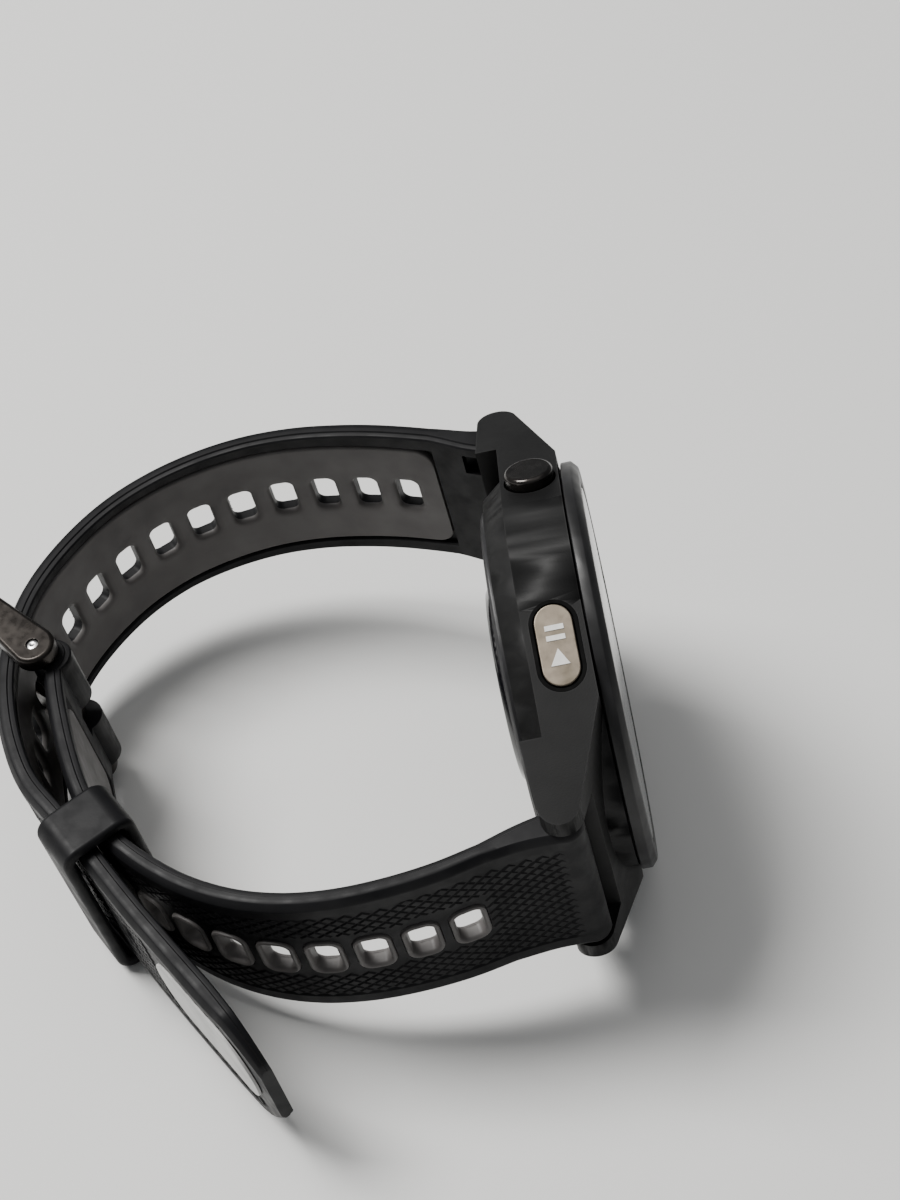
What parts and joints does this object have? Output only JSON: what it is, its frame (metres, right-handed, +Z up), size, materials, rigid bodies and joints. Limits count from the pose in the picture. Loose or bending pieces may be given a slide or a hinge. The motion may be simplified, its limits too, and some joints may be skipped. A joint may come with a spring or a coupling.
{
  "type": "gps running watch",
  "caption": "Round sports watch with push buttons, buckled silicone pin-buckle band and keeper loop, lying on its side",
  "frame": {"origin": "centre of the overall box's bottom face, on the surface the watch lies on", "axes": "+Z up from the table; the watch lies on its 9 o'clock side, so +Z is close to its 3 o'clock direction; +X is close to the way the display faces; +Y is close to its 6 o'clock direction"},
  "size_m": [0.0772, 0.0834, 0.0475],
  "materials": {
    "case_polymer": "fine-grained matte black fibre polymer, lighter where it is rubbed",
    "bezel_polymer": "satin black",
    "lens_glass": "polished, bevelled rim",
    "seal_rubber": "matte",
    "display": "glossy, switched off",
    "inner_metal": "satin",
    "antenna_metal": "satin",
    "board": "solder mask",
    "contact_metal": "gold plated",
    "battery_foil": "dull foil",
    "steel": "brushed",
    "weight_metal": "sintered",
    "back_polymer": "matte black",
    "sensor_glass": "polished black glass",
    "bronze_metal": "fine blasted, warm bronze grey",
    "dark_metal": "polished dark coating",
    "mark_white": "printed",
    "silicone_black": "matte moulded silicone",
    "silicone_grey": "matte moulded silicone",
    "silicone_pale": "matte moulded silicone",
    "gunmetal": "satin gunmetal coating"
  },
  "bodies": {
    "watch": {"mid_case": "case_polymer", "bezel": "bezel_polymer", "lens": "lens_glass", "lens_gasket": "seal_rubber", "display_panel": "display", "display_frame": "inner_metal", "gps_antenna": "antenna_metal", "main_board": "board", "button_contacts": "contact_metal", "battery": "battery_foil", "motor_can": "steel", "beeper": "antenna_metal", "case_back": "back_polymer", "back_gasket": "seal_rubber", "back_screws": "steel", "sensor_window": "sensor_glass", "sensor_board": "board", "charge_contacts": "contact_metal", "run_button_seat": "seal_rubber", "button_seals": "seal_rubber", "spring_bar_12": "steel", "spring_bar_6": "steel", "long_strap": "silicone_black", "long_strap_liner": "silicone_grey", "tail_panel": "silicone_pale", "short_strap": "silicone_black", "short_strap_liner": "silicone_grey"},
    "run_button": {"run_button": "bronze_metal", "run_button_mark": "mark_white", "run_clip": "steel"},
    "back_button": {"back_button": "dark_metal", "back_clip": "steel"},
    "light_button": {"light_button": "dark_metal", "light_clip": "steel"},
    "up_button": {"up_button": "dark_metal", "up_clip": "steel"},
    "down_button": {"down_button": "dark_metal", "down_clip": "steel"},
    "quick_tip_12": {"quick_tip_12": "steel"},
    "quick_tip_6": {"quick_tip_6": "steel"},
    "buckle": {"buckle_frame": "gunmetal", "buckle_pin": "steel"},
    "tongue": {"buckle_tongue": "gunmetal"},
    "keeper": {"keeper_loop": "silicone_black"},
    "motor_weight": {"motor_weight": "weight_metal"}
  },
  "joints": [
    {"name": "run_button_press", "type": "slide", "parent": "watch", "child": "run_button", "axis": [-0.1845, -0.4428, 0.8774], "range_m": [-0.0005, 0], "stiffness_N_per_m": 2500},
    {"name": "back_button_press", "type": "slide", "parent": "watch", "child": "back_button", "axis": [-0.1845, 0.2863, 0.9402], "range_m": [-0.0005, 0], "stiffness_N_per_m": 2500},
    {"name": "light_button_press", "type": "slide", "parent": "watch", "child": "light_button", "axis": [0.1845, -0.2863, -0.9402], "range_m": [-0.0005, 0], "stiffness_N_per_m": 2500},
    {"name": "up_button_press", "type": "slide", "parent": "watch", "child": "up_button", "axis": [0.1982, 0.0841, -0.9765], "range_m": [-0.0005, 0], "stiffness_N_per_m": 2500},
    {"name": "down_button_press", "type": "slide", "parent": "watch", "child": "down_button", "axis": [0.1845, 0.4428, -0.8774], "range_m": [-0.0005, 0], "stiffness_N_per_m": 2500},
    {"name": "quick_release_12", "type": "slide", "parent": "watch", "child": "quick_tip_12", "axis": [-0.1982, -0.0841, 0.9765], "range_m": [-0.0014, 0], "stiffness_N_per_m": 400},
    {"name": "quick_release_6", "type": "slide", "parent": "watch", "child": "quick_tip_6", "axis": [-0.1982, -0.0841, 0.9765], "range_m": [-0.0014, 0], "stiffness_N_per_m": 400},
    {"name": "buckle_turn", "type": "hinge", "parent": "watch", "child": "buckle", "pos_m": [-0.0284, 0.01404, 0.01322], "axis": [-0.1982, -0.0841, 0.9765], "range_deg": [-1, 1.5]},
    {"name": "tongue_lift", "type": "hinge", "parent": "buckle", "child": "tongue", "pos_m": [-0.0284, 0.01404, 0.01322], "axis": [-0.1982, -0.0841, 0.9765], "range_deg": [0, 3]},
    {"name": "keeper_slide", "type": "slide", "parent": "watch", "child": "keeper", "axis": [0.4901, -0.8713, 0.0244], "range_m": [-0.0005, 0.0005]},
    {"name": "motor_spin", "type": "hinge", "parent": "watch", "child": "motor_weight", "pos_m": [0.02678, 0.01697, 0.02467], "axis": [-0.1982, -0.0841, 0.9765], "continuous": true}
  ]
}
